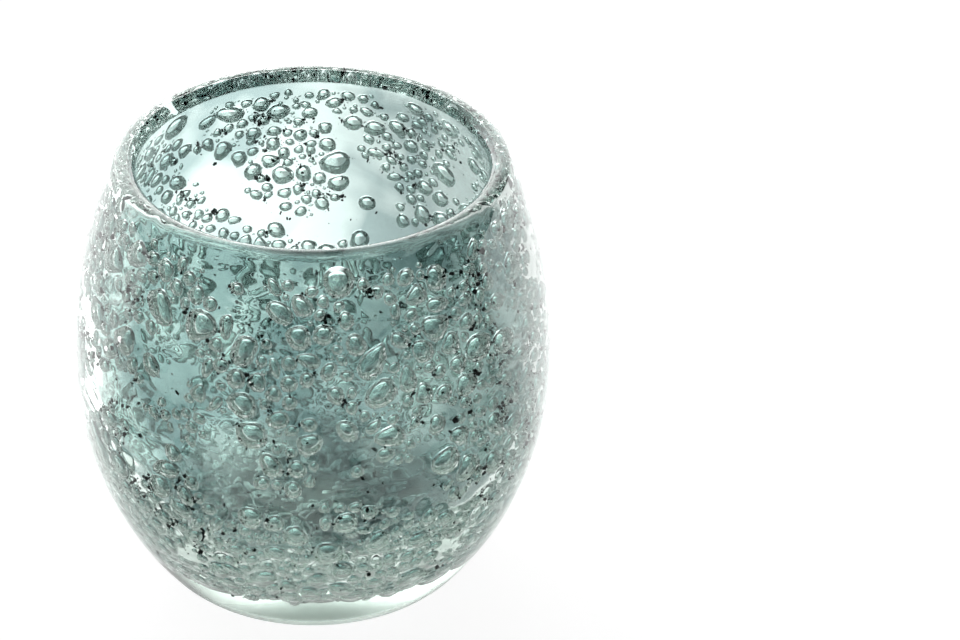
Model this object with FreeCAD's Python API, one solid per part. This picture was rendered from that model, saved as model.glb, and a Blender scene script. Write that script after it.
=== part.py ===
"""Ball-shaped candle holder of thick blown glass, with air bubbles trapped in its wall.

One solid, in millimetres. +Z is up, and the origin is the middle of the ground underside.
The outside is three tangent arcs on a ground foot, the lip is a fire-polished half round,
and the cavity follows the outside one wall thickness in, then parts from it towards the
heavy base. The larger bubbles are closed cavities in the glass: flat eight-sided lenses
that lie along the wall, with few faces each, because there are so many of them.
"""

import FreeCAD
import Part

import math
import os

Vector = FreeCAD.Vector

# Outside
height = 105.5
belly_radius = 55.0
belly_height = 53.5
shoulder_arc_radius = 123.0
lower_arc_radius = 81.0
heel_radius = 10.5

# Wall, cavity and heavy base
wall_thickness = 5.3
floor_thickness = 17.0
cavity_arc_radius = 52.0
cavity_heel_radius = 14.0

# Ground hollow in the middle of the underside
hollow_radius = 12.0
hollow_depth = 0.5

# Bubbles, with half widths along the wall that are taken in turn, as are the shares that they
# fill of the wall's depth between the two skins of glass over them
bubble_half_widths = (3.6, 1.9, 2.7, 1.5, 2.3)
bubble_depth_shares = (1.0, 0.72, 0.9, 0.6, 0.8)
bubble_skin = 0.55
bubble_top_share = 0.55
bubble_sides = 8
bubble_row_pitch = 10.8
bubble_row_spacing = 20.0
bubble_sway = 1.7
bubble_lip_margin = 6.5
bubble_axis_margin = 5.5

golden_turn = math.pi * (3 - math.sqrt(5))
up = Vector(0, 0, 1)
downwards = -math.pi / 2


def on_circle(centre, radius, angle):
    """The point of a circle in the XZ plane, at an angle from +X towards +Z."""
    return Vector(centre.x + radius * math.cos(angle), 0, centre.z + radius * math.sin(angle))


def arc(centre, radius, start, end):
    """An arc in the XZ plane about a centre, from one angle to another."""
    angles = (start, (start + end) / 2, end)
    return Part.Arc(*[on_circle(centre, radius, angle) for angle in angles]).toShape()


def line(start, end):
    """A straight edge."""
    return Part.LineSegment(start, end).toShape()


def rolled_in(centre, radius, small_radius, level):
    """The centre of a small circle that stands on a level and touches a large one from inside.

    The second value is the angle at which the two circles touch.
    """
    drop = centre.z - level - small_radius
    across = math.sqrt((radius - small_radius) ** 2 - drop ** 2)
    return Vector(centre.x + across, 0, level + small_radius), math.atan2(-drop, across)


class Meridian:
    """Half a section of the glass: its arcs' centres, and the angles at which they meet."""

    def __init__(self):
        # The shoulder and the lower arc share an upright tangent at the belly
        self.shoulder = Vector(belly_radius - shoulder_arc_radius, 0, belly_height)
        self.lower = Vector(belly_radius - lower_arc_radius, 0, belly_height)
        self.heel, self.heel_angle = rolled_in(self.lower, lower_arc_radius, heel_radius, 0)
        # The lip rounds off the whole wall, and its top is as high as the glass
        self.lip_radius = wall_thickness / 2
        middle_radius = shoulder_arc_radius - self.lip_radius
        self.lip_angle = math.asin((height - self.lip_radius - belly_height) / middle_radius)
        self.lip = on_circle(self.shoulder, middle_radius, self.lip_angle)
        # Below the belly the cavity has an arc and a heel of its own, above the thick floor
        self.cavity = Vector(belly_radius - wall_thickness - cavity_arc_radius, 0, belly_height)
        self.cavity_heel, self.cavity_heel_angle = rolled_in(
            self.cavity, cavity_arc_radius, cavity_heel_radius, floor_thickness)

    def outline(self):
        """The closed half section: underside, outside, lip, cavity and floor."""
        hollow_arc_radius = (hollow_radius ** 2 + hollow_depth ** 2) / (2 * hollow_depth)
        hollow = Vector(0, 0, hollow_depth - hollow_arc_radius)
        hollow_angle = math.atan2(-hollow.z, hollow_radius)
        inner_shoulder_radius = shoulder_arc_radius - wall_thickness
        floor_middle = Vector(0, 0, floor_thickness)
        return Part.Wire([
            arc(hollow, hollow_arc_radius, math.pi / 2, hollow_angle),
            line(Vector(hollow_radius, 0, 0), Vector(self.heel.x, 0, 0)),
            arc(self.heel, heel_radius, downwards, self.heel_angle),
            arc(self.lower, lower_arc_radius, self.heel_angle, 0),
            arc(self.shoulder, shoulder_arc_radius, 0, self.lip_angle),
            arc(self.lip, self.lip_radius, self.lip_angle, self.lip_angle + math.pi),
            arc(self.shoulder, inner_shoulder_radius, self.lip_angle, 0),
            arc(self.cavity, cavity_arc_radius, 0, self.cavity_heel_angle),
            arc(self.cavity_heel, cavity_heel_radius, self.cavity_heel_angle, downwards),
            line(Vector(self.cavity_heel.x, 0, floor_thickness), floor_middle),
            line(floor_middle, Vector(0, 0, hollow_depth)),
        ])

    def bubble_arcs(self):
        """The arcs that bubbles follow, half a wall outside the cavity, from the lip down to the floor.

        Each is a centre, a radius and the angles between which it runs.
        """
        half_wall = wall_thickness / 2
        start = self.lip_angle - bubble_lip_margin / shoulder_arc_radius
        return [
            (self.shoulder, shoulder_arc_radius - half_wall, start, 0),
            (self.cavity, cavity_arc_radius + half_wall, 0, self.cavity_heel_angle),
            (self.cavity_heel, cavity_heel_radius + half_wall, self.cavity_heel_angle, downwards),
        ]

    def bubble_line_length(self):
        """The length of the bubbles' line, down those arcs and in under the floor."""
        arcs = sum(radius * (start - end) for centre, radius, start, end in self.bubble_arcs())
        return arcs + self.cavity_heel.x - bubble_axis_margin

    def on_bubble_line(self, along):
        """The point of the bubbles' line at a length from its start, and the way out of the cavity there."""
        for centre, radius, start, end in self.bubble_arcs():
            if along < radius * (start - end):
                angle = start - along / radius
                return on_circle(centre, radius, angle), Vector(math.cos(angle), 0, math.sin(angle))
            along -= radius * (start - end)
        return Vector(self.cavity_heel.x - along, 0, floor_thickness - wall_thickness / 2), -up


def polygon_face(corners):
    """A flat face with these corners."""
    return Part.Face(Part.makePolygon(corners + corners[:1]))


def bubble(half_width, half_depth, middle, outward, turn):
    """A flat lens of air: a wide ring of corners round its middle and a smaller one on either side.

    It lies along the wall at a point of the XZ plane, and is then turned about Z to its place.
    """
    down_wall = Vector(outward.z, 0, -outward.x)
    sideways = Vector(0, 1, 0)

    def ring(radius, level):
        """The corners of one ring, at a level outwards from the lens's middle."""
        angles = [2 * math.pi * side / bubble_sides for side in range(bubble_sides)]
        return [middle + outward * level + down_wall * (radius * math.cos(angle))
                + sideways * (radius * math.sin(angle)) for angle in angles]

    inner = ring(half_width * bubble_top_share, -half_depth)
    widest = ring(half_width, 0)
    outer = ring(half_width * bubble_top_share, half_depth)
    faces = [polygon_face(inner), polygon_face(outer)]
    for near, far in ((inner, widest), (widest, outer)):
        for side in range(bubble_sides):
            faces.append(polygon_face([near[side - 1], near[side], far[side], far[side - 1]]))
    lens = Part.Solid(Part.Shell(faces))
    lens.rotate(Vector(0, 0, 0), up, math.degrees(turn))
    return lens


def bubbles(meridian):
    """Rows of bubbles round the wall, from the lip down and in under the floor.

    Each row starts a golden angle on from the last, and each bubble sways a little up or down
    the wall, so that they don't line up.
    """
    placed = []
    deepest = wall_thickness / 2 - bubble_skin
    length = meridian.bubble_line_length()
    for row in range(int(length / bubble_row_pitch) + 1):
        row_place = row * bubble_row_pitch
        row_girth = 2 * math.pi * meridian.on_bubble_line(row_place)[0].x
        count = max(3, int(row_girth / bubble_row_spacing))
        for step in range(count):
            number = len(placed)
            size = (2 * number + row) % len(bubble_half_widths)
            sway = bubble_sway * math.sin(number * golden_turn)
            middle, outward = meridian.on_bubble_line(row_place + sway)
            turn = row * golden_turn + 2 * math.pi * step / count
            half_depth = bubble_depth_shares[size] * deepest
            placed.append(bubble(bubble_half_widths[size], half_depth, middle, outward, turn))
    return placed


def glass_vessel():
    """The blown glass, with its bubbles as closed cavities."""
    meridian = Meridian()
    blank = Part.Face(meridian.outline()).revolve(Vector(0, 0, 0), up, 360)
    return blank.cut(Part.Compound(bubbles(meridian))).Solids[0]


def main():
    """Writes the glass to its own file."""
    os.makedirs("parts", exist_ok=True)
    glass = glass_vessel()
    glass.exportStep("parts/glass_vessel.step")
    print("glass_vessel:", len(glass.Shells) - 1, "bubbles,", round(glass.Volume / 1000, 1), "cm3, valid",
          glass.isValid())


main()
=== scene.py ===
"""Dresses the ball-shaped candle holder of blown bubble glass.

The vessel is one blown piece. Its shell is worked out from its half section, every air bubble
in the wall is a closed hollow in the same mesh, and light is refracted by all of them.
Lengths are in millimetres up to the point where a mesh, a node or the camera is given them.
"""

import logging
import math
from dataclasses import dataclass, field
from enum import Enum
from typing import NamedTuple

import bpy
import numpy as np
from mathutils import Matrix, Vector, noise

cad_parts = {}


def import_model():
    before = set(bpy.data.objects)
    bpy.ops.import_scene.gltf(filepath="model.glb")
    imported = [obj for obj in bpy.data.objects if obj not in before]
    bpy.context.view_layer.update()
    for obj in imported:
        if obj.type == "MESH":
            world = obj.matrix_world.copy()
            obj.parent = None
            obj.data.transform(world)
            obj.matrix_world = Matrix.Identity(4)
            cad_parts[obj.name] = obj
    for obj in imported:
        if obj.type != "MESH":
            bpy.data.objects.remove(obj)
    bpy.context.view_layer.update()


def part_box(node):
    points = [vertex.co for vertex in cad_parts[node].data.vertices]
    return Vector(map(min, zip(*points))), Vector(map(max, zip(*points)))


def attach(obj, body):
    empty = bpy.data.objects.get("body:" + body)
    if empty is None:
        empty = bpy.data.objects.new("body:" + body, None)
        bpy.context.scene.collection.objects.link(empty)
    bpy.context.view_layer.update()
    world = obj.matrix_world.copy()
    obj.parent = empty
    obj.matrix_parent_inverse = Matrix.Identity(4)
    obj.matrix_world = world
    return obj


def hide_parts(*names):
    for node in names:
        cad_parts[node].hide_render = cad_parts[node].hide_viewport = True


LOG = logging.getLogger("bubble_glass")
Array = np.ndarray
Tree = bpy.types.NodeTree
Socket = bpy.types.NodeSocket
MM = 0.001
FULL_TURN = 2 * math.pi
GOLDEN_TURN = math.pi * (3 - math.sqrt(5))
DOWNWARDS = -math.pi / 2
TINY = 1e-6

# Three sine waves make a bubble's outline uneven: across it, along it, and over its diagonals
OUTLINE_TURNS = (2.3, 2.9, 4.1)
OUTLINE_STARTS = (3, 5, 7)
OUTLINE_HEIGHTS = (1.0, 1.0, 0.6)
OUTLINE_PEAK = 2.2


def linear(hex_colour: str) -> tuple[float, float, float, float]:
    """Turns an sRGB hex colour into Blender's linear colour.

    A share up to 0.04045 is divided by 12.92. A greater one gains 0.055, is divided by 1.055
    and is raised to the power 2.4, as sRGB defines it.

    Args:
        hex_colour: six hex digits, with or without a leading hash.

    Returns:
        Red, green, blue and an alpha of one.
    """
    digits = hex_colour.lstrip("#")
    shares = [int(digits[place:place + 2], 16) / 255 for place in (0, 2, 4)]
    lit = [share / 12.92 if share <= 0.04045 else ((share + 0.055) / 1.055) ** 2.4 for share in shares]
    return (*lit, 1.0)


def add_node(tree: Tree, kind: str, inputs: dict | None = None,
             **settings: object) -> bpy.types.Node:
    """Adds one node with its settings, its socket values and its links.

    Args:
        tree: the node tree that gets the node.
        kind: Blender's name for the node's type.
        inputs: socket name or number to a value, or to the output socket that feeds it.
        settings: attributes of the node itself.

    Returns:
        The new node.
    """
    node = tree.nodes.new(kind)
    for name, value in settings.items():
        setattr(node, name, value)
    for socket, value in (inputs or {}).items():
        if isinstance(value, Socket):
            tree.links.new(value, node.inputs[socket])
        else:
            node.inputs[socket].default_value = value
    return node


def ramp(tree: Tree, value: Socket, start: float, end: float, low: Socket | float = 0.0,
         high: Socket | float = 1.0, kind: str = "LINEAR") -> Socket:
    """Runs from a low to a high result while a value runs from a start to an end.

    Args:
        tree: the node tree that gets the node.
        value: the value.
        start: where the low result ends.
        end: where the high result begins.
        low: the low result.
        high: the high result.
        kind: Blender's name for the curve between them.

    Returns:
        The result.
    """
    node = add_node(tree, "ShaderNodeMapRange", {
        "Value": value, "From Min": start, "From Max": end, "To Min": low, "To Max": high},
        interpolation_type=kind)
    return node.outputs["Result"]


def mixed(tree: Tree, share: Socket, first: object, second: object, kind: str = "RGBA") -> Socket:
    """Mixes two colours, or two numbers where the kind is FLOAT, by the second one's share."""
    inputs = {"Factor": share, "A": first, "B": second}
    return add_node(tree, "ShaderNodeMix", inputs, data_type=kind).outputs["Result"]


def worked_out(tree: Tree, operation: str, *values: Socket | float, clamp: bool = False) -> Socket:
    """Does one sum with numbers or sockets, by Blender's name for it."""
    inputs = dict(enumerate(values))
    node = add_node(tree, "ShaderNodeMath", inputs, operation=operation, use_clamp=clamp)
    return node.outputs["Value"]


def bare_tree(owner: bpy.types.Material | bpy.types.World) -> Tree:
    """Gives a new material or world an empty node tree."""
    owner.use_nodes = True
    owner.node_tree.nodes.clear()
    return owner.node_tree


def linked(name: str, data: bpy.types.ID) -> bpy.types.Object:
    """Makes an object at the origin, unturned and unscaled, and links it to the scene."""
    item = bpy.data.objects.new(name, data)
    bpy.context.scene.collection.objects.link(item)
    return item


class GlassLayer(Enum):
    """Which surface of the glass a point belongs to, as the value of the attribute glass_layer."""

    GROUND = -1.0
    CASING = 0.0
    BUBBLE = 0.5
    CAVITY = 1.0


@dataclass
class HalfSection:
    """The half section of the glass, as tangent arcs: radius outwards against height.

    The belly's radius and the height come from the frame, and the rest are the glass's own sizes.
    The greatest turn between two points of an arc is in degrees.
    """

    belly_radius: float
    height: float
    belly_height: float = 53.5
    shoulder_arc_radius: float = 123.0
    lower_arc_radius: float = 81.0
    heel_radius: float = 10.5
    wall_thickness: float = 5.3
    floor_thickness: float = 17.0
    cavity_arc_radius: float = 52.0
    cavity_heel_radius: float = 14.0
    hollow_radius: float = 12.0
    hollow_depth: float = 0.5
    bubble_lip_margin: float = 6.5
    bubble_axis_margin: float = 5.5
    greatest_turn: float = 12.0
    foot_points: int = 8
    floor_points: int = 12

    def __post_init__(self) -> None:
        """Finds the arcs' centres and the angles at which they meet."""
        self.lip_radius = self.wall_thickness / 2
        self.shoulder = np.array([self.belly_radius - self.shoulder_arc_radius, self.belly_height])
        self.lower = np.array([self.belly_radius - self.lower_arc_radius, self.belly_height])
        self.heel, self.heel_angle = self._rolled_in(
            self.lower, self.lower_arc_radius, self.heel_radius, 0.0)
        middle_radius = self.shoulder_arc_radius - self.lip_radius
        self.lip_angle = math.asin((self.height - self.lip_radius - self.belly_height) / middle_radius)
        lip_direction = np.array([math.cos(self.lip_angle), math.sin(self.lip_angle)])
        self.lip = self.shoulder + middle_radius * lip_direction
        cavity_belly = self.belly_radius - self.wall_thickness
        self.cavity = np.array([cavity_belly - self.cavity_arc_radius, self.belly_height])
        self.cavity_heel, self.cavity_heel_angle = self._rolled_in(
            self.cavity, self.cavity_arc_radius, self.cavity_heel_radius, self.floor_thickness)

    @staticmethod
    def _rolled_in(centre: Array, radius: float, small: float,
                   level: float) -> tuple[Array, float]:
        """Rolls a small circle inside a large one, down to a level.

        Args:
            centre: the large circle's centre, as radius and height.
            radius: the large circle's radius.
            small: the small circle's radius.
            level: the height that the small circle stands on.

        Returns:
            The small circle's centre, and the angle at which the circles touch.
        """
        drop = centre[1] - level - small
        across = math.sqrt((radius - small) ** 2 - drop ** 2)
        return np.array([centre[0] + across, level + small]), math.atan2(-drop, across)

    def loop(self, step: float) -> tuple[Array, Array]:
        """Samples the closed half section from the underside's middle round to the floor's middle.

        Each arc is its centre plus its radius times the cosine and sine of an even run of angles.

        Args:
            step: the greatest length between two points, which is less on small arcs.

        Returns:
            The points as radius and height, and each point's glass layer.
        """
        hollow_arc = (self.hollow_radius ** 2 + self.hollow_depth ** 2) / (2 * self.hollow_depth)
        hollow = np.array([0.0, self.hollow_depth - hollow_arc])
        hollow_angle = math.atan2(-hollow[1], self.hollow_radius)
        inner_shoulder = self.shoulder_arc_radius - self.wall_thickness
        lip_top, lip_inside = self.lip_angle + math.pi / 2, self.lip_angle + math.pi
        ground, casing = GlassLayer.GROUND.value, GlassLayer.CASING.value
        cavity = GlassLayer.CAVITY.value
        arcs = [
            (hollow, hollow_arc, math.pi / 2, hollow_angle, ground),
            (self.heel, self.heel_radius, DOWNWARDS, self.heel_angle, casing),
            (self.lower, self.lower_arc_radius, self.heel_angle, 0.0, casing),
            (self.shoulder, self.shoulder_arc_radius, 0.0, self.lip_angle, casing),
            (self.lip, self.lip_radius, self.lip_angle, lip_top, casing),
            (self.lip, self.lip_radius, lip_top, lip_inside, cavity),
            (self.shoulder, inner_shoulder, self.lip_angle, 0.0, cavity),
            (self.cavity, self.cavity_arc_radius, 0.0, self.cavity_heel_angle, cavity),
            (self.cavity_heel, self.cavity_heel_radius, self.cavity_heel_angle, DOWNWARDS, cavity),
        ]
        runs, layers = [], []
        for centre, radius, start, end, layer in arcs:
            turn_step = min(step / radius, math.radians(self.greatest_turn))
            count = max(2, math.ceil(abs(end - start) / turn_step) + 1)
            angles = np.linspace(start, end, count)[:-1]
            runs.append(centre + radius * np.column_stack([np.cos(angles), np.sin(angles)]))
            layers.append(np.full(len(angles), layer))
            if centre is hollow:
                flat = np.linspace(self.hollow_radius, self.heel[0], self.foot_points)[:-1]
                runs.append(np.column_stack([flat, np.zeros_like(flat)]))
                layers.append(np.full_like(flat, ground))
        floor = np.linspace(self.cavity_heel[0], 0.0, self.floor_points)
        runs.append(np.column_stack([floor, np.full_like(floor, self.floor_thickness)]))
        layers.append(np.full_like(floor, cavity))
        return np.vstack(runs), np.concatenate(layers)

    def bubble_arcs(self) -> list[tuple[Array, float, float, float]]:
        """The arcs half a wall outside the cavity, from the lip down to the floor's edge."""
        half_wall = self.wall_thickness / 2
        start = self.lip_angle - self.bubble_lip_margin / self.shoulder_arc_radius
        return [
            (self.shoulder, self.shoulder_arc_radius - half_wall, start, 0.0),
            (self.cavity, self.cavity_arc_radius + half_wall, 0.0, self.cavity_heel_angle),
            (self.cavity_heel, self.cavity_heel_radius + half_wall, self.cavity_heel_angle, DOWNWARDS),
        ]

    def bubble_line_length(self) -> float:
        """The length of those arcs and of the straight run in under the floor."""
        arcs = sum(radius * (start - end) for _, radius, start, end in self.bubble_arcs())
        return arcs + self.cavity_heel[0] - self.bubble_axis_margin

    def on_bubble_line(self, along: Array) -> tuple[Array, Array]:
        """Finds points of the bubbles' line, arc by arc, as the centre plus the radius at an angle.

        Args:
            along: lengths from the line's upper end, in an array of any shape.

        Returns:
            The points and the unit directions out of the cavity there, both as radius and height.
        """
        rest = np.asarray(along, float).copy()
        place = np.stack([self.cavity_heel[0] - rest, np.zeros_like(rest)], -1)
        outward = np.zeros_like(place)
        done = np.zeros(rest.shape, bool)
        for centre, radius, start, end in self.bubble_arcs():
            length = radius * (start - end)
            here = ~done & (rest < length)
            angle = start - rest / radius
            direction = np.stack([np.cos(angle), np.sin(angle)], -1)
            place[here] = (centre + radius * direction)[here]
            outward[here] = direction[here]
            done |= here
            rest = np.where(done, rest, rest - length)
        under = ~done
        place[under, 0] = self.cavity_heel[0] - rest[under]
        place[under, 1] = self.floor_thickness - self.wall_thickness / 2
        outward[under] = (0.0, -1.0)
        return place, outward


def outline_share(across: Array, along: Array, phase: Array,
                  lumps: Array) -> Array:
    """How far a bubble's outline strays from an ellipse, as one plus a few sine waves of its own.

    Args:
        across: the place on a unit ball, across the bubble.
        along: the place on a unit ball, along the bubble.
        phase: where the bubble's waves start, in radians.
        lumps: about the greatest share that they add or take.

    Returns:
        The share of the ellipse's size.
    """
    wide_turn, long_turn, diagonal_turn = OUTLINE_TURNS
    runs = (wide_turn * across, long_turn * along, diagonal_turn * across * along)
    waves = sum(height * np.sin(run + start * phase)
                for height, run, start in zip(OUTLINE_HEIGHTS, runs, OUTLINE_STARTS))
    return 1 + lumps * waves / OUTLINE_PEAK


@dataclass
class Bubbles:
    """Air bubbles in the wall, one row of each array a bubble, all in millimetres and radians."""

    along: Array
    turn: Array
    depth: Array
    half_width: Array
    half_length: Array
    half_depth: Array
    twist: Array
    lumps: Array
    taper: Array
    phase: Array

    def chosen(self, mask: Array) -> "Bubbles":
        """The bubbles for which the mask is true."""
        return Bubbles(*(getattr(self, name)[mask] for name in self.__dataclass_fields__))

    def reach(self, direction: Array) -> Array:
        """How far each bubble's outline lies from its middle.

        Args:
            direction: a direction in the wall's face, from round the wall towards down it.

        Returns:
            The length of the outline's radius that way.
        """
        own = direction - self.twist
        angle = np.arctan2(self.half_width * np.sin(own), self.half_length * np.cos(own))
        across, along = np.cos(angle), np.sin(angle)
        radius = np.hypot(self.half_width * across * (1 + self.taper * along), self.half_length * along)
        return radius * outline_share(across, along, self.phase, self.lumps)


@dataclass(frozen=True)
class BubbleKind:
    """A range of half widths, and how its bubbles are scattered.

    The depth is a share of the width, lumps make the outline uneven, and a share of the bubbles
    is set beside one that is there already.
    """

    tries: int
    narrow: float
    wide: float
    depth_share: float
    lumps: float
    beside: float


class Draw(NamedTuple):
    """The random shares between 0 and 1 that decide one bubble, in the order of the stream."""

    place: float
    turn: float
    width: float
    length: float
    level: float
    twist: float
    crowding: float
    girth: float
    depth: float
    taper: float
    huddle: float
    host: float


@dataclass
class BubbleScatter:
    """Scatters the air bubbles, from the large ones of the solid down to the fine seed between them.

    Rise places are lengths along the bubbles' line, where crowding grows by the rise shares.
    """

    section: HalfSection
    seed: int = 11
    half_widths: tuple[float, ...] = (3.6, 1.9, 2.7, 1.5, 2.3)
    depth_shares: tuple[float, ...] = (1.0, 0.72, 0.9, 0.6, 0.8)
    skin: float = 0.55
    row_pitch: float = 10.8
    row_spacing: float = 20.0
    least_in_row: int = 3
    room_for_large: int = 500
    sway: float = 1.7
    large_stretch: tuple[float, float] = (0.85, 1.2)
    large_taper: float = 0.2
    large_lumps: float = 0.2
    kinds: tuple[BubbleKind, ...] = (
        BubbleKind(1300, 2.3, 3.5, 0.75, 0.22, 0.3),
        BubbleKind(36000, 1.25, 2.3, 0.85, 0.16, 0.6),
        BubbleKind(12000, 0.65, 1.15, 0.95, 0.0, 0.6),
        BubbleKind(6000, 0.3, 0.65, 1.0, 0.0, 0.6),
    )
    small_bias: float = 1.4
    least_stretch: float = 0.85
    stretch_spread: float = 0.4
    long_share: float = 0.15
    long_stretch: float = 0.9
    least_fullness: float = 0.65
    greatest_taper: float = 0.35
    depth_margin: float = 0.45
    level_margin: float = 0.3
    gap: float = 0.12
    gap_beside: float = 0.05
    overlap: float = 0.82
    outline_reach: float = 1.4
    lip_reach: float = 3.4
    patch_size: float = 13.0
    typical_radius: float = 50.0
    least_radius: float = 5.0
    crowding_middle: float = 0.45
    crowding_swing: float = 3.2
    crowding_rise: float = 0.8
    rise_places: tuple[float, ...] = (14.0, 32.0, 44.0, 66.0)
    rise_shares: tuple[float, ...] = (0.7, 0.0, 0.0, 1.0)
    girth_samples: int = 300

    def __post_init__(self) -> None:
        """Starts the one stream of random numbers, and measures the girth along the line."""
        self.random = np.random.default_rng(self.seed)
        self.length = self.section.bubble_line_length()
        self.girth_places = np.linspace(-self.lip_reach, self.length, self.girth_samples)
        self.girth_radii = self.section.on_bubble_line(self.girth_places)[0][:, 0]
        room = sum(kind.tries for kind in self.kinds) + self.room_for_large
        self.kept = np.zeros((len(Bubbles.__dataclass_fields__), room))
        self.count = 0

    def _keep(self, row: tuple[float, ...]) -> None:
        """Adds one bubble."""
        self.kept[:, self.count] = row
        self.count += 1

    def _large(self) -> None:
        """Lays the rows of large bubbles where the solid has them.

        Each row starts a golden angle on from the last, and each bubble sways up or down the wall.
        """
        deepest = self.section.wall_thickness / 2 - self.skin
        least, most = self.large_stretch
        for row in range(int(self.length / self.row_pitch) + 1):
            row_place = row * self.row_pitch
            girth = FULL_TURN * self.section.on_bubble_line(np.array(row_place))[0][0]
            count = max(self.least_in_row, int(girth / self.row_spacing))
            for step in range(count):
                number = self.count
                size = (2 * number + row) % len(self.half_widths)
                along = row_place + self.sway * math.sin(number * GOLDEN_TURN)
                turn = row * GOLDEN_TURN + FULL_TURN * step / count
                stretch, twist, taper = self.random.uniform(
                    (least, 0, -self.large_taper), (most, FULL_TURN, self.large_taper))
                half_width = self.half_widths[size]
                self._keep((along, turn, 0.0, half_width, half_width * stretch,
                            self.depth_shares[size] * deepest, twist, self.large_lumps, taper,
                            number * GOLDEN_TURN))

    def _crowding(self, along: float, turn: float) -> float:
        """How readily glass holds bubbles at a place, from 0 in clear patches to 1 in crowded ones.

        It is a smooth noise as wide as the patches, raised towards the lip and the base.

        Args:
            along: the length from the upper end of the bubbles' line.
            turn: the turn round the axis.

        Returns:
            The chance that a bubble is kept there.
        """
        radius = self.typical_radius
        place = Vector((math.cos(turn) * radius, math.sin(turn) * radius, along)) / self.patch_size
        patches = self.crowding_swing * noise.noise(place)
        rise = self.crowding_rise * float(np.interp(along, self.rise_places, self.rise_shares))
        return max(0.0, min(1.0, self.crowding_middle + patches + rise))

    def _is_free(self, row: tuple[float, ...], girth_radius: float) -> bool:
        """Tells whether a bubble is clear of all that are kept.

        Two bubbles touch where the distance of their middles is less than their outlines reach.
        Where one lies wholly deeper in the wall than the other, their outlines may overlap a little.

        Args:
            row: the bubble's values, in the order of the fields of Bubbles.
            girth_radius: the wall's radius there.

        Returns:
            True if it touches none.
        """
        kept = self.kept[:, :self.count]
        along, turn, depth, half_width, half_length, half_depth = row[:6]
        down = kept[0] - along
        across = ((kept[1] - turn + math.pi) % FULL_TURN - math.pi) * girth_radius
        both = np.maximum(kept[3], kept[4]) + max(half_width, half_length)
        widest = self.outline_reach * both + self.gap
        near = np.nonzero((np.abs(down) < widest) & (np.abs(across) < widest))[0]
        if len(near) == 0:
            return True
        others = Bubbles(*kept[:, near])
        this = Bubbles(*np.array(row)[:, None])
        direction = np.arctan2(down[near], across[near])
        reach = this.reach(direction) + others.reach(direction + math.pi) + self.gap
        apart = np.hypot(down[near], across[near]) / reach
        through = np.abs(others.depth - depth) / (others.half_depth + half_depth + self.gap)
        return not np.any(apart < np.where(through > 1, self.overlap, 1.0))

    def _shape(self, kind: BubbleKind, draw: Draw) -> tuple[float, ...]:
        """Draws one bubble's shape: most are small and nearly round, and a few are long.

        Args:
            kind: the range of sizes.
            draw: the random shares.

        Returns:
            The bubble's values from depth to phase, in the order of the fields of Bubbles.
        """
        half_wall = self.section.wall_thickness / 2
        half_width = kind.narrow * (kind.wide / kind.narrow) ** (draw.width ** self.small_bias)
        over = max(0.0, draw.length - (1 - self.long_share))
        half_length = half_width * (self.least_stretch + self.stretch_spread * draw.length
                                    + self.long_stretch * over / self.long_share)
        fullness = self.least_fullness + (1 - self.least_fullness) * draw.depth
        half_depth = min(half_width * kind.depth_share * fullness, half_wall - self.depth_margin)
        depth = (2 * draw.level - 1) * (half_wall - self.level_margin - half_depth)
        twist = draw.twist * 2 * math.pi
        taper = self.greatest_taper * (2 * draw.taper - 1) * (kind.lumps > 0)
        phase = self.count * GOLDEN_TURN
        return depth, half_width, half_length, half_depth, twist, kind.lumps, taper, phase

    def _beside(self, shape: tuple[float, ...], draw: Draw) -> tuple[float, float]:
        """Finds the place where a bubble all but touches one that is there already.

        Args:
            shape: the bubble's values from depth to phase.
            draw: the random shares.

        Returns:
            The length along the bubbles' line, and the turn round the axis.
        """
        host = self.kept[:, int(draw.host * self.count)]
        direction = draw.place * 2 * math.pi
        this = Bubbles(0.0, 0.0, *shape)
        reach = float(Bubbles(*host).reach(direction) + this.reach(direction + math.pi))
        distance = reach + self.gap + self.gap_beside
        along = host[0] + distance * math.sin(direction)
        girth_radius = max(self.least_radius, np.interp(along, self.girth_places, self.girth_radii))
        return along, host[1] + distance * math.cos(direction) / girth_radius

    def _fill(self, kind: BubbleKind) -> None:
        """Drops bubbles of one kind, and keeps those that touch no other.

        A share of them is set beside a bubble that is there already, so that they huddle. Of
        the rest fewer are kept where the wall is narrow, in proportion to its radius.

        Args:
            kind: their sizes and numbers.
        """
        for row in self.random.random((kind.tries, len(Draw._fields))):
            draw = Draw(*row)
            shape = self._shape(kind, draw)
            half_length = shape[2]
            upper_end = half_length - self.lip_reach
            huddles = draw.huddle < kind.beside
            if huddles:
                along, turn = self._beside(shape, draw)
            else:
                along = upper_end + draw.place * (self.length - upper_end)
                turn = draw.turn * 2 * math.pi
            if not upper_end < along < self.length or draw.crowding > self._crowding(along, turn):
                continue
            girth_radius = float(np.interp(along, self.girth_places, self.girth_radii))
            if not huddles and draw.girth > girth_radius / self.typical_radius:
                continue
            if self._is_free((along, turn, *shape), girth_radius):
                self._keep((along, turn, *shape))

    def scatter(self) -> Bubbles:
        """Places all the bubbles, the large ones first.

        Returns:
            The bubbles, in the order in which they were placed.
        """
        self._large()
        for kind in self.kinds:
            before = self.count
            self._fill(kind)
            LOG.info("bubbles up to %.1f mm across: %d", 2 * kind.wide, self.count - before)
        return Bubbles(*self.kept[:, :self.count])


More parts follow.
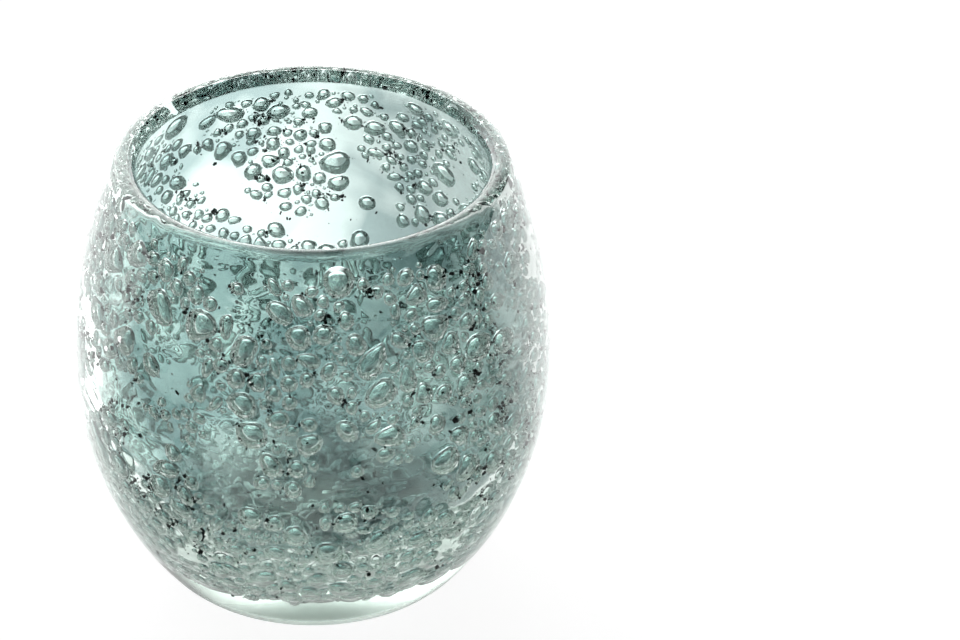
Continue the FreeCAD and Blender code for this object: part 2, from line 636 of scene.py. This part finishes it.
@dataclass
class MeshParts:
    """Points and faces that several builders add to, before they become one mesh."""

    points: list[Array] = field(default_factory=list)
    faces: list[Array] = field(default_factory=list)
    layers: list[Array] = field(default_factory=list)
    count: int = 0

    def add(self, points: Array, faces: list[Array], layer: Array) -> None:
        """Adds a closed surface.

        Args:
            points: its points in millimetres.
            faces: arrays of faces that count from this surface's first point.
            layer: the value of the glass layer at each point.
        """
        self.points.append(points)
        self.layers.append(layer)
        self.faces.extend(array + self.count for array in faces)
        self.count += len(points)

    def build(self, name: str) -> bpy.types.Object:
        """Writes one mesh in metres and links its object at the origin.

        Args:
            name: the object's name.

        Returns:
            The object, shaded smooth, with the point attribute glass_layer.
        """
        mesh = bpy.data.meshes.new(name)
        points = np.vstack(self.points) * MM
        sizes = np.concatenate([np.full(len(array), array.shape[1]) for array in self.faces])
        corners = np.concatenate([array.ravel() for array in self.faces])
        mesh.vertices.add(len(points))
        mesh.vertices.foreach_set("co", points.astype(np.float32).ravel())
        mesh.loops.add(len(corners))
        mesh.loops.foreach_set("vertex_index", corners.astype(np.int32))
        mesh.polygons.add(len(sizes))
        starts = np.concatenate([[0], np.cumsum(sizes)[:-1]])
        mesh.polygons.foreach_set("loop_start", starts.astype(np.int32))
        mesh.polygons.foreach_set("loop_total", sizes.astype(np.int32))
        mesh.polygons.foreach_set("use_smooth", np.ones(len(sizes), bool))
        attribute = mesh.attributes.new("glass_layer", "FLOAT", "POINT")
        attribute.data.foreach_set("value", np.concatenate(self.layers).astype(np.float32))
        mesh.update(calc_edges=True)
        mesh.validate()
        return linked(name, mesh)


def ball(sides: int, tilts: tuple[float, ...]) -> tuple[Array, Array]:
    """Makes a unit ball whose poles lie through the wall, so that its round outline faces out.

    A point is the sine of its tilt from the pole, times the cosine and sine of the turn, and
    the cosine of that tilt. Every other ring is turned by half a side.

    Args:
        sides: points in each ring.
        tilts: the rings' angles from the pole, in degrees.

    Returns:
        The points and the triangles, which face out of the ball.
    """
    rows = len(tilts)
    tilt = np.radians(tilts)[:, None]
    turn = 2 * math.pi * (np.arange(sides) + 0.5 * (np.arange(rows)[:, None] % 2)) / sides
    level = np.cos(tilt) + 0 * turn
    grid = np.stack([np.sin(tilt) * np.cos(turn), np.sin(tilt) * np.sin(turn), level], -1)
    points = np.vstack([grid.reshape(-1, 3), [(0, 0, 1), (0, 0, -1)]])
    index = np.arange(rows * sides).reshape(rows, sides)
    after = np.roll(index, -1, axis=1)
    top, bottom = (np.full(sides, rows * sides + pole) for pole in (0, 1))
    faces = [np.column_stack([top, index[0], after[0]]), np.column_stack([bottom, after[-1], index[-1]])]
    for row in range(rows - 1):
        near, near_after, far, far_after = index[row], after[row], index[row + 1], after[row + 1]
        if row % 2:
            pair = (near, far_after, near_after), (near, far, far_after)
        else:
            pair = (near, far, near_after), (near_after, far, far_after)
        faces += [np.column_stack(corners) for corners in pair]
    return points, np.vstack(faces)


@dataclass(frozen=True)
class BubbleMesh:
    """How finely bubbles from a half width up are meshed: their sides, and their rings' tilts."""

    least_half_width: float
    sides: int
    tilts: tuple[float, ...]


@dataclass
class BlownVessel:
    """The vessel: a shell of revolution with its bubbles, built as one closed mesh.

    Each wave of the shell has a height share, a number of crests round the glass, radians for
    each millimetre up and a start in radians. The waves fade out at foot and lip.
    """

    section: HalfSection
    bubbles: Bubbles
    columns: int = 128
    profile_step: float = 4.0
    outer_wave: float = 0.06
    inner_wave: float = 0.1
    waves: tuple[tuple[float, int, float, float], ...] = (
        (1.0, 3, 0.07, 0.4), (1.0, 5, -0.11, 1.9), (0.7, 9, 0.17, 3.1), (0.6, 2, 0.19, 0.0))
    still_foot: float = 6.0
    foot_fade: float = 14.0
    still_lip: float = 1.0
    lip_fade: float = 8.0
    dome: float = 0.25
    meshes: tuple[BubbleMesh, ...] = (
        BubbleMesh(2.15, 11, (34, 74, 106, 146)),
        BubbleMesh(1.5, 9, (36, 74, 106, 144)),
        BubbleMesh(1.03, 8, (38, 74, 106, 142)),
        BubbleMesh(0.6, 5, (58, 122)),
        BubbleMesh(0.0, 4, (90,)),
    )

    def _shell(self, parts: MeshParts) -> None:
        """Carries the half section round the axis, with the slow waves of hand-blown glass.

        A point is its radius times the cosine and sine of the turn, and its height. The radius
        gains a few low sine waves in the turn and the height.

        Args:
            parts: the mesh that takes it.
        """
        profile, side = self.section.loop(self.profile_step)
        ring, ring_side = profile[1:-1], side[1:-1]
        turns = np.linspace(0, FULL_TURN, self.columns, endpoint=False)
        radius, height = np.meshgrid(ring[:, 0], turns, indexing="ij")[0], ring[:, 1][:, None]
        waves = sum(share * np.sin(crests * turns + climb * height + start)
                    for share, crests, climb, start in self.waves)
        inside = ring_side > GlassLayer.BUBBLE.value
        size = np.where(inside, self.inner_wave, self.outer_wave)[:, None]
        from_foot = np.clip((height - self.still_foot) / self.foot_fade, 0, 1)
        from_lip = np.clip((self.section.height - self.still_lip - height) / self.lip_fade, 0, 1)
        radius = radius + waves * size * (from_foot * from_lip)
        grid = np.stack([radius * np.cos(turns), radius * np.sin(turns), height + 0 * radius], -1)
        rows = len(ring)
        index = np.arange(rows * self.columns).reshape(rows, self.columns)
        after = np.roll(index, -1, axis=1)
        quads = np.stack([index[:-1], after[:-1], after[1:], index[1:]], -1).reshape(-1, 4)
        first, last = rows * self.columns, rows * self.columns + 1
        start_fan = np.column_stack([np.full(self.columns, first), after[0], index[0]])
        end_fan = np.column_stack([np.full(self.columns, last), index[-1], after[-1]])
        poles = np.array([[0, 0, profile[0, 1]], [0, 0, profile[-1, 1]]])
        points = np.vstack([grid.reshape(-1, 3), poles])
        layer = np.concatenate([np.repeat(ring_side, self.columns), [side[0], side[-1]]])
        parts.add(points, [quads, start_fan, end_fan], layer)

    def _air(self, parts: MeshParts, bubbles: Bubbles, mesh: BubbleMesh) -> None:
        """Lays one ball for each bubble along the curved wall.

        A ball is scaled to its half sizes, its outline strays by sine waves of its own, it is
        twisted in the wall's face, and its points are read as lengths along, round and through
        the wall, so that a wide bubble bends with the glass. Round, down and out are left-handed
        directions, so each ball is turned inside out, and faces its own air as a hollow does.

        Args:
            parts: the mesh that takes them.
            bubbles: the bubbles.
            mesh: how finely they are meshed.
        """
        if len(bubbles.along) == 0:
            return
        points, faces = ball(mesh.sides, mesh.tilts)
        swell = outline_share(points[:, 0], points[:, 1], bubbles.phase[:, None], bubbles.lumps[:, None])
        tapered = swell * (1 + bubbles.taper[:, None] * points[:, 1])
        rim = bubbles.half_depth[:, None]
        spread = np.hypot(points[:, 0], points[:, 1])
        level = np.where(spread > TINY, 1 / np.maximum(spread, TINY), 0.0)
        wide = points[:, 0] * tapered * (rim + (bubbles.half_width[:, None] - rim) * level)
        long = points[:, 1] * swell * (rim + (bubbles.half_length[:, None] - rim) * level)
        dome = 1 + self.dome * (1 - level * spread)
        deep = points[:, 2] * rim * dome + bubbles.depth[:, None]
        cosine, sine = np.cos(bubbles.twist)[:, None], np.sin(bubbles.twist)[:, None]
        round_wall, down_wall = wide * cosine - long * sine, wide * sine + long * cosine
        place, outward = self.section.on_bubble_line(bubbles.along[:, None] + down_wall)
        girth = self.section.on_bubble_line(bubbles.along)[0][:, :1]
        turn = bubbles.turn[:, None] + round_wall / girth
        radius = place[..., 0] + outward[..., 0] * deep
        height = place[..., 1] + outward[..., 1] * deep
        grid = np.stack([radius * np.cos(turn), radius * np.sin(turn), height], -1)
        first = (np.arange(len(bubbles.along)) * len(points))[:, None, None]
        layer = np.full(grid.shape[0] * grid.shape[1], GlassLayer.BUBBLE.value)
        parts.add(grid.reshape(-1, 3), [(faces[None] + first).reshape(-1, 3)], layer)

    def build(self) -> bpy.types.Object:
        """Builds the glass with its bubbles.

        Returns:
            The object.
        """
        parts = MeshParts()
        self._shell(parts)
        half_width = self.bubbles.half_width
        above = math.inf
        for mesh in self.meshes:
            chosen = (half_width >= mesh.least_half_width) & (half_width < above)
            self._air(parts, self.bubbles.chosen(chosen), mesh)
            LOG.info("bubbles of %d sides: %d", mesh.sides, int(chosen.sum()))
            above = mesh.least_half_width
        return parts.build("bubble_glass_vessel")


class GlassSockets(NamedTuple):
    """The glass's node tree, with the sockets that tell where on the glass a point lies."""

    tree: Tree
    place: Socket
    height: Socket
    layer: Socket
    cavity: Socket


@dataclass(frozen=True)
class BlownGlass:
    """Soda-lime glass, blown: a clear casing over a gather tinted sea green, smooth as fire leaves it.

    The gather's tint gives the eye a sea-green ground that deepens in clouds. The casing's skin
    is almost clear, so that bubbles keep white caps and dark rims, the glass itself absorbs a
    little, which greens the thick base, and the ground foot is dull up to where the heel leaves
    the table. The cavity's and the casing's limits are values of the glass layer.
    """

    clear: str = "#ffffff"
    tint: str = "#b4ccc9"
    deep_tint: str = "#6a8484"
    casing_tint: str = "#e2eae7"
    body_tint: str = "#bfd5c9"
    body_density: float = 0.0125
    ior: float = 1.5
    cloud_size: float = 20.0
    cloud_detail: float = 2.0
    cloud_from: float = 0.42
    cloud_to: float = 0.58
    tinted_from: float = 7.0
    tinted_to: float = 22.0
    cavity_from: float = 0.6
    cavity_to: float = 0.9
    casing_to: float = 0.25
    cavity_roughness: float = 0.03
    ground_roughness: float = 0.4
    ground_from: float = 4.0
    ground_to: float = 8.0
    cord_spacing: float = 12.0
    cord_stretch: float = 1.8
    cord_height: float = 0.3
    cord_detail: float = 1.0
    cord_curl: float = 0.8

    def _colour(self, at: GlassSockets) -> Socket:
        """Tints the skins of the glass.

        Above the base the casing has a little colour, and the cavity's surface carries the
        gather's, which drifts between a light and a deep tint in clouds.

        Args:
            at: the sockets that tell where a point lies.

        Returns:
            The colour.
        """
        clouds = add_node(at.tree, "ShaderNodeTexNoise", {
            "Vector": at.place, "Scale": 1 / (self.cloud_size * MM), "Detail": self.cloud_detail})
        drift = ramp(at.tree, clouds.outputs["Fac"], self.cloud_from, self.cloud_to)
        gather = mixed(at.tree, drift, linear(self.tint), linear(self.deep_tint))
        above_base = ramp(
            at.tree, at.height, self.tinted_from * MM, self.tinted_to * MM, kind="SMOOTHSTEP")
        casing = mixed(at.tree, above_base, linear(self.clear), linear(self.casing_tint))
        return mixed(at.tree, at.cavity, casing, gather)

    def _roughness(self, at: GlassSockets) -> Socket:
        """Dulls the ground foot and the heel just above it, and the cavity a very little.

        Args:
            at: the sockets that tell where a point lies.

        Returns:
            The roughness.
        """
        low = ramp(at.tree, at.height, self.ground_to * MM, self.ground_from * MM)
        outside = worked_out(at.tree, "LESS_THAN", at.layer, self.casing_to)
        ground = worked_out(at.tree, "MULTIPLY", low, outside)
        worn = worked_out(at.tree, "MULTIPLY", at.cavity, self.cavity_roughness)
        return worked_out(at.tree, "MULTIPLY_ADD", ground, self.ground_roughness, worn)

    def _cords(self, at: GlassSockets) -> Socket:
        """Makes the cavity's surface a little uneven, in the slow cords that gathering leaves.

        Args:
            at: the sockets that tell where a point lies.

        Returns:
            The bumped normal.
        """
        stretch = add_node(at.tree, "ShaderNodeMapping", {
            "Vector": at.place, "Scale": (1.0, 1.0, self.cord_stretch)})
        cords = add_node(at.tree, "ShaderNodeTexNoise", {
            "Vector": stretch.outputs["Vector"], "Scale": 1 / (self.cord_spacing * MM),
            "Detail": self.cord_detail, "Distortion": self.cord_curl})
        height = worked_out(at.tree, "MULTIPLY", cords.outputs["Fac"], at.cavity)
        bump = add_node(at.tree, "ShaderNodeBump", {
            "Height": height, "Strength": 1.0, "Distance": self.cord_height * MM})
        return bump.outputs["Normal"]

    def material(self) -> bpy.types.Material:
        """Builds the material, with a faint even absorption in the glass itself.

        Returns:
            The material.
        """
        material = bpy.data.materials.new("blown_soda_lime_glass")
        tree = bare_tree(material)
        place = add_node(tree, "ShaderNodeTexCoord").outputs["Object"]
        height = add_node(tree, "ShaderNodeSeparateXYZ", {"Vector": place}).outputs["Z"]
        layer = add_node(tree, "ShaderNodeAttribute", attribute_name="glass_layer").outputs["Fac"]
        cavity = ramp(tree, layer, self.cavity_from, self.cavity_to)
        at = GlassSockets(tree, place, height, layer, cavity)
        glass = add_node(tree, "ShaderNodeBsdfPrincipled", {
            "Base Color": self._colour(at), "Roughness": self._roughness(at),
            "Normal": self._cords(at), "IOR": self.ior, "Transmission Weight": 1.0})
        body = add_node(tree, "ShaderNodeVolumeAbsorption", {
            "Color": linear(self.body_tint), "Density": self.body_density / MM})
        add_node(tree, "ShaderNodeOutputMaterial", {
            "Surface": glass.outputs["BSDF"], "Volume": body.outputs["Volume"]})
        return material


@dataclass(frozen=True)
class SpeckShade:
    """Painted shade: dull near-black grains that darken the bubbles' spots and rims, a few rust brown.
    """

    # Near black, the painted shade of the bubbles' dark spots and rims.
    dark: str = "#141b19"
    rust: str = "#5d3a35"
    roughness: float = 0.7
    specular: float = 0.1

    def material(self) -> bpy.types.Material:
        """Builds the material.

        Returns:
            The material.
        """
        material = bpy.data.materials.new("painted_shade_grains")
        tree = bare_tree(material)
        rusty = add_node(tree, "ShaderNodeAttribute", attribute_name="rust").outputs["Fac"]
        # The grains are painted shade, near black, and the rust attribute turns a few of them rust
        # brown.
        speck = add_node(tree, "ShaderNodeBsdfPrincipled", {
            "Base Color": mixed(tree, rusty, linear(self.dark), linear(self.rust)),
            "Roughness": self.roughness, "Specular IOR Level": self.specular})
        add_node(tree, "ShaderNodeOutputMaterial", {"Surface": speck.outputs["BSDF"]})
        return material


@dataclass
class ShadeSpecks:
    """Specks of painted shade in the glass, mostly in clusters beside the wider bubbles of the upper
    wall.
    """

    section: HalfSection
    bubbles: Bubbles
    seed: int = 5
    clusters: int = 620
    least_in_cluster: int = 2
    most_in_cluster: int = 12
    cluster_spread: float = 0.45
    host_half_width: float = 1.2
    hosts_end: float = 66.0
    host_gap: float = 0.2
    loose: int = 1200
    end_margin: float = 0.5
    half_sizes: tuple[float, float] = (0.1, 0.7)
    small_bias: float = 2.0
    stretches: tuple[float, float] = (0.5, 1.6)
    greatest_depth: float = 1.9
    sides: int = 4
    tilts: tuple[float, ...] = (45, 135)
    rust_above: float = 96.0
    rust_share: float = 0.06

    def _places(self, random: np.random.Generator) -> tuple[Array, Array]:
        """Chooses the places of the specks of painted shade: clusters beside wide bubbles, and loose
        ones anywhere.

        Args:
            random: the stream of random numbers.

        Returns:
            Each speck's length along the bubbles' line, and its turn round the axis.
        """
        length = self.section.bubble_line_length()
        wide = self.bubbles.half_width > self.host_half_width
        hosts = self.bubbles.chosen(wide & (self.bubbles.along < self.hosts_end))
        host = random.integers(0, len(hosts.along), self.clusters)
        beside = random.uniform(0, FULL_TURN, self.clusters)
        # Each cluster sits at a wide bubble's edge, as painted shade of its dark rim.
        reach = hosts.half_width[host] + self.host_gap
        middle = hosts.along[host] + reach * np.sin(beside)
        middle_girth = self.section.on_bubble_line(middle)[0][:, 0]
        middle_turn = hosts.turn[host] + reach * np.cos(beside) / middle_girth
        members = random.integers(self.least_in_cluster, self.most_in_cluster + 1, self.clusters)
        grouped = members.sum()
        clustered = np.repeat(middle, members) + random.normal(0, self.cluster_spread, grouped)
        along = np.concatenate([clustered, random.uniform(0, length, self.loose)])
        along = np.clip(along, self.end_margin, length - self.end_margin)
        girth = self.section.on_bubble_line(along)[0][:grouped, 0]
        offset = random.normal(0, self.cluster_spread, grouped) / girth
        loose_turn = random.uniform(0, FULL_TURN, self.loose)
        return along, np.concatenate([np.repeat(middle_turn, members) + offset, loose_turn])

    def build(self) -> bpy.types.Object:
        """Builds all the specks as one mesh.

        A speck is a ball of few faces, scaled by three random half sizes, twisted in the face of
        the wall, and set at a random depth in it.

        Returns:
            The object, with the point attribute rust.
        """
        random = np.random.default_rng(self.seed)
        along, turn = self._places(random)
        place, outward = self.section.on_bubble_line(along)
        count = len(along)
        low, high = self.half_sizes
        size = low * (high / low) ** (random.random(count) ** self.small_bias)
        stretch = random.uniform(*self.stretches, (count, 3))
        depth = random.uniform(-self.greatest_depth, self.greatest_depth, count)
        twist = random.uniform(0, math.pi, count)
        points, faces = ball(self.sides, self.tilts)
        wide, long, deep = (points[:, axis] * (size * stretch[:, axis])[:, None] for axis in range(3))
        sideways = wide * np.cos(twist)[:, None] - long * np.sin(twist)[:, None]
        down = wide * np.sin(twist)[:, None] + long * np.cos(twist)[:, None]
        level = depth[:, None] + deep
        radius = place[:, :1] + outward[:, :1] * level + outward[:, 1:] * down
        height = place[:, 1:] + outward[:, 1:] * level - outward[:, :1] * down
        angle = turn[:, None] - sideways / place[:, :1]
        grid = np.stack([radius * np.cos(angle), radius * np.sin(angle), height], -1)
        corners = (faces[None] + (np.arange(count) * len(points))[:, None, None]).reshape(-1, 3)
        mesh = bpy.data.meshes.new("shade_speck_grains")
        mesh.from_pydata((grid.reshape(-1, 3) * MM).tolist(), [], corners.tolist())
        rusty = (place[:, 1] > self.rust_above) & (random.random(count) < self.rust_share)
        attribute = mesh.attributes.new("rust", "FLOAT", "POINT")
        attribute.data.foreach_set("value", np.repeat(rusty, len(points)).astype(np.float32))
        LOG.info("painted shade specks: %d, rusty %d", count, int(rusty.sum()))
        return linked("shade_speck_grains", mesh)


@dataclass
class Studio:
    """A lit white table in a room with one bright wall behind, and the camera.

    The photographed bubbles show white caps and dark rims on a sea-green ground, which takes a
    bright wall behind, dark sides, and a table that glows more round the glass than under it.
    The camera itself sees table and room as plain near-white. Angles are in degrees, and the
    wall's glow runs between two cosines of the angle to its middle.
    """

    floor_size: float = 6000.0
    room_light: float = 0.0
    wall_glow: float = 4.2
    wall_from: float = 0.4
    wall_to: float = 1.0
    wall_left: float = 0.26
    seen_glow: float = 0.93
    # Painted shadow under the glass: the table's glow there, and the radii over which it fades in.
    painted_shadow_glow: float = 0.14
    under_from: float = 20.0
    under_to: float = 52.0
    behind_glow: float = 1.9
    # Painted shade behind the glass to the right: the share of the glow that is left there.
    right_shade_share: float = 0.42
    right_from: float = -20.0
    right_to: float = 50.0
    front_glow: float = 1.6
    far_front_glow: float = 1.2
    far_from: float = 200.0
    far_to: float = 300.0
    mirrored_glow: float = 0.0
    half_blend: float = 40.0
    table_colour: str = "#8c8c8c"
    glow_colour: str = "#ffffff"
    table_roughness: float = 0.9
    lens: float = 117.04
    sensor: float = 36.0
    nearest: float = 10.0
    farthest: float = 50000.0
    distance: float = 720.0
    aim_height: float = 53.3
    elevation: float = 32.7
    roll: float = -0.5
    aim_right: float = 3.044
    aim_up: float = 0.594
    glass_bounces: int = 28
    glossy_bounces: int = 12
    diffuse_bounces: int = 2
    brightest_sample: float = 6.0

    def camera(self) -> None:
        """Places the camera at the photograph's angle, aimed a little past the glass as it was."""
        data = bpy.data.cameras.new("camera")
        data.lens = self.lens
        data.sensor_width = self.sensor
        data.clip_start = self.nearest * MM
        data.clip_end = self.farthest * MM
        camera = linked("camera", data)
        rise = math.radians(self.elevation)
        back = Vector((0, -math.cos(rise), math.sin(rise)))
        facing = (-back).to_track_quat("-Z", "Y").to_matrix()
        facing = facing @ Matrix.Rotation(math.radians(self.roll), 3, "Z")
        facing = facing @ Matrix.Rotation(-math.radians(self.aim_right), 3, "Y")
        facing = facing @ Matrix.Rotation(math.radians(self.aim_up), 3, "X")
        aim = Vector((0, 0, self.aim_height * MM))
        camera.matrix_world = Matrix.Translation(aim + back * (self.distance * MM)) @ facing.to_4x4()
        bpy.context.scene.camera = camera

    def _table_glow(self, tree: Tree) -> Socket:
        """Works out how strongly the table glows, from the place on it and the kind of ray.

        It is dim under the glass, a painted shadow, bright behind it with less to the right, which is
        painted shade, and less bright in front. A reflection in the glass's skins meets only the part
        behind, so that no veil lies over the colour, and the camera meets one even near-white.

        Args:
            tree: the material's node tree.

        Returns:
            The strength.
        """
        place = add_node(tree, "ShaderNodeTexCoord").outputs["Object"]
        away = add_node(tree, "ShaderNodeVectorMath", {0: place}, operation="LENGTH").outputs["Value"]
        split = add_node(tree, "ShaderNodeSeparateXYZ", {"Vector": place}).outputs
        to_back = (split["Y"], -self.half_blend * MM, self.half_blend * MM)
        front = ramp(tree, away, self.far_from * MM, self.far_to * MM, self.front_glow,
                     self.far_front_glow)
        # Painted shade: behind the glass the table glows less to the right.
        behind = ramp(tree, split["X"], self.right_from * MM, self.right_to * MM, self.behind_glow,
                      self.behind_glow * self.right_shade_share, "SMOOTHSTEP")
        around = ramp(tree, *to_back, front, behind)
        # Painted shadow: the table glows only dimly under the glass.
        lit = ramp(tree, away, self.under_from * MM, self.under_to * MM, self.painted_shadow_glow, around,
                   "SMOOTHSTEP")
        glare = ramp(tree, *to_back, self.mirrored_glow, self.behind_glow)
        path = add_node(tree, "ShaderNodeLightPath").outputs
        mirror = worked_out(
            tree, "SUBTRACT", path["Is Glossy Ray"], path["Is Transmission Ray"], clamp=True)
        met = mixed(tree, mirror, lit, glare, "FLOAT")
        return mixed(tree, path["Is Camera Ray"], met, self.seen_glow, "FLOAT")

    def floor(self) -> bpy.types.Object:
        """Lays the table's top, of opal acrylic that glows as if lit from below, with a painted shadow
        under the glass.

        Returns:
            The floor.
        """
        half = self.floor_size * MM / 2
        corners = [(-half, -half, 0), (half, -half, 0), (half, half, 0), (-half, half, 0)]
        mesh = bpy.data.meshes.new("table_top")
        mesh.from_pydata(corners, [], [(0, 1, 2, 3)])
        material = bpy.data.materials.new("opal_acrylic")
        tree = bare_tree(material)
        shader = add_node(tree, "ShaderNodeBsdfPrincipled", {
            "Base Color": linear(self.table_colour), "Roughness": self.table_roughness,
            "Specular IOR Level": 0.0, "Emission Color": linear(self.glow_colour),
            "Emission Strength": self._table_glow(tree)})
        add_node(tree, "ShaderNodeOutputMaterial", {"Surface": shader.outputs["BSDF"]})
        mesh.materials.append(material)
        return linked("table_top", mesh)

    def room(self) -> None:
        """Lights the room with a soft bright wall behind, and shows plain white to the camera.

        The glow rises with the cosine of the angle to the wall's middle, which is a little left
        of straight behind, at the height of the table.
        """
        world = bpy.data.worlds.new("pale_room")
        bpy.context.scene.world = world
        tree = bare_tree(world)
        place = add_node(tree, "ShaderNodeTexCoord").outputs["Generated"]
        middle = Vector((-self.wall_left, 1.0, 0.0)).normalized()
        towards = add_node(tree, "ShaderNodeVectorMath", {0: place, 1: middle}, operation="DOT_PRODUCT")
        glow = ramp(tree, towards.outputs["Value"], self.wall_from, self.wall_to, self.room_light,
                    self.wall_glow, "SMOOTHSTEP")
        path = add_node(tree, "ShaderNodeLightPath").outputs
        back = add_node(tree, "ShaderNodeBackground", {
            "Color": mixed(tree, path["Is Camera Ray"], glow, (1, 1, 1, 1)), "Strength": 1.0})
        add_node(tree, "ShaderNodeOutputWorld", {"Surface": back.outputs["Background"]})

    def build(self) -> None:
        """Sets up the whole studio, and lets light pass through many glass faces."""
        self.camera()
        self.floor()
        self.room()
        scene = bpy.context.scene
        scene.view_settings.view_transform = "Standard"
        scene.cycles.max_bounces = self.glass_bounces
        scene.cycles.transmission_bounces = self.glass_bounces
        scene.cycles.glossy_bounces = self.glossy_bounces
        scene.cycles.diffuse_bounces = self.diffuse_bounces
        scene.cycles.caustics_reflective = True
        scene.cycles.caustics_refractive = True
        scene.cycles.sample_clamp_indirect = self.brightest_sample
        scene.cycles.use_denoising = True


def main() -> None:
    """Loads the frame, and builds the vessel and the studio."""
    logging.basicConfig(level=logging.INFO, format="%(message)s")
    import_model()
    low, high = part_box("glass_vessel")
    section = HalfSection(belly_radius=(high[1] - low[1]) / 2 / MM, height=high[2] / MM)
    bubbles = BubbleScatter(section).scatter()
    vessel = BlownVessel(section, bubbles).build()
    vessel.data.materials.append(BlownGlass().material())
    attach(vessel, "root")
    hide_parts("glass_vessel")
    # Specks of painted shade in the wall, mostly at the edges of the wider bubbles.
    specks = ShadeSpecks(section, bubbles).build()
    specks.data.materials.append(SpeckShade().material())
    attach(specks, "root")
    LOG.info("vessel: %d points, %d faces", len(vessel.data.vertices), len(vessel.data.polygons))
    Studio().build()


if __name__ == "__main__":
    main()
